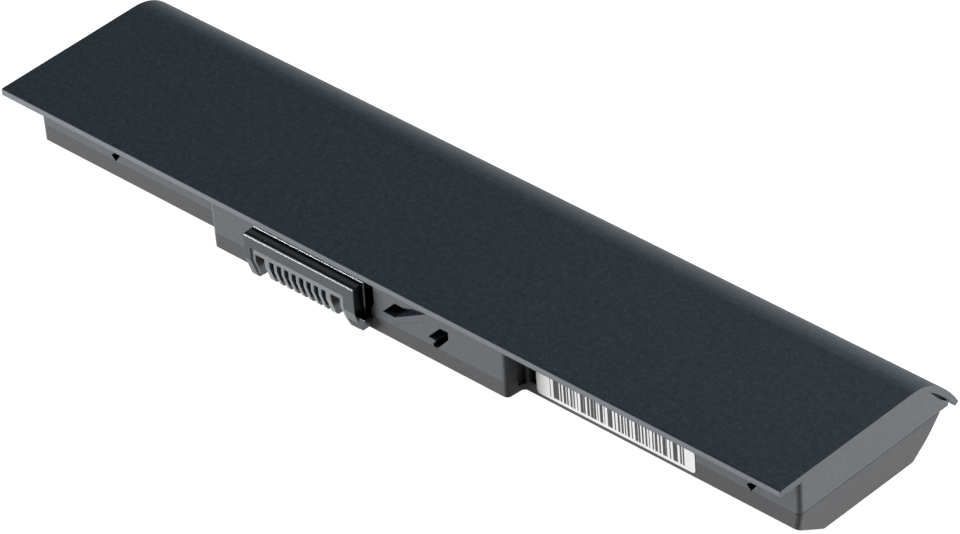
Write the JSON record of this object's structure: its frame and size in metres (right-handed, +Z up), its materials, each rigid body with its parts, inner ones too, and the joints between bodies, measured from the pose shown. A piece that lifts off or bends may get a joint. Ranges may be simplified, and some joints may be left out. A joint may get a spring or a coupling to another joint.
{
  "type": "laptop battery",
  "caption": "Long clip-in laptop battery with a flat cover plate, a curved rear lip, a comb connector and latch pockets in a raised bay, and a sloped lower case.",
  "frame": {"origin": "below the middle of the pack, on the plane of its flat bottom", "axes": "+X along the pack to its right end, +Y from the connector to the rear lip, +Z up out of the cover plate"},
  "size_m": [0.2052, 0.053, 0.0188],
  "materials": {
    "cover_plastic": "fine-grained dark blue-grey moulding",
    "case_plastic": "fine-grained dark grey moulding",
    "label": null,
    "connector_plastic": "semi-gloss black moulding",
    "contact_metal": "plated spring metal",
    "board": "green solder mask",
    "chip": "moulded package",
    "ceramic": "fired ceramic body",
    "bead": "dipped bead",
    "nickel": "plain nickel strip",
    "paper": "insulating paper",
    "black_wire": "soft insulation",
    "red_wire": "soft insulation",
    "tape": "double-sided tape",
    "can": "plated steel can",
    "sleeve": "shrunk film"
  },
  "bodies": {
    "root": {"upper_cover": "cover_plastic", "lower_case": "case_plastic", "barcode_label": "label", "connector_housing": "connector_plastic", "power_contacts": "contact_metal", "signal_contacts": "contact_metal", "circuit_board": "board", "gauge_chip": "chip", "guard_chip": "chip", "power_transistors": "chip", "capacitors": "ceramic", "chip_fuse": "ceramic", "shunt_resistor": "chip", "thermistor": "bead", "negative_strip": "nickel", "link_strip_1": "nickel", "link_strip_2": "nickel", "positive_strip": "nickel", "link_paper_1": "paper", "link_paper_2": "paper", "board_paper": "paper", "negative_lead": "black_wire", "positive_lead": "red_wire", "adhesive_pads": "tape", "cell_1": "can", "cell_sleeve_1": "sleeve", "cell_2": "can", "cell_sleeve_2": "sleeve", "cell_3": "can", "cell_sleeve_3": "sleeve", "cell_4": "can", "cell_sleeve_4": "sleeve", "cell_5": "can", "cell_sleeve_5": "sleeve", "cell_6": "can", "cell_sleeve_6": "sleeve", "cap_paper_1": "paper", "cap_paper_2": "paper", "cap_paper_3": "paper"}
  },
  "joints": []
}
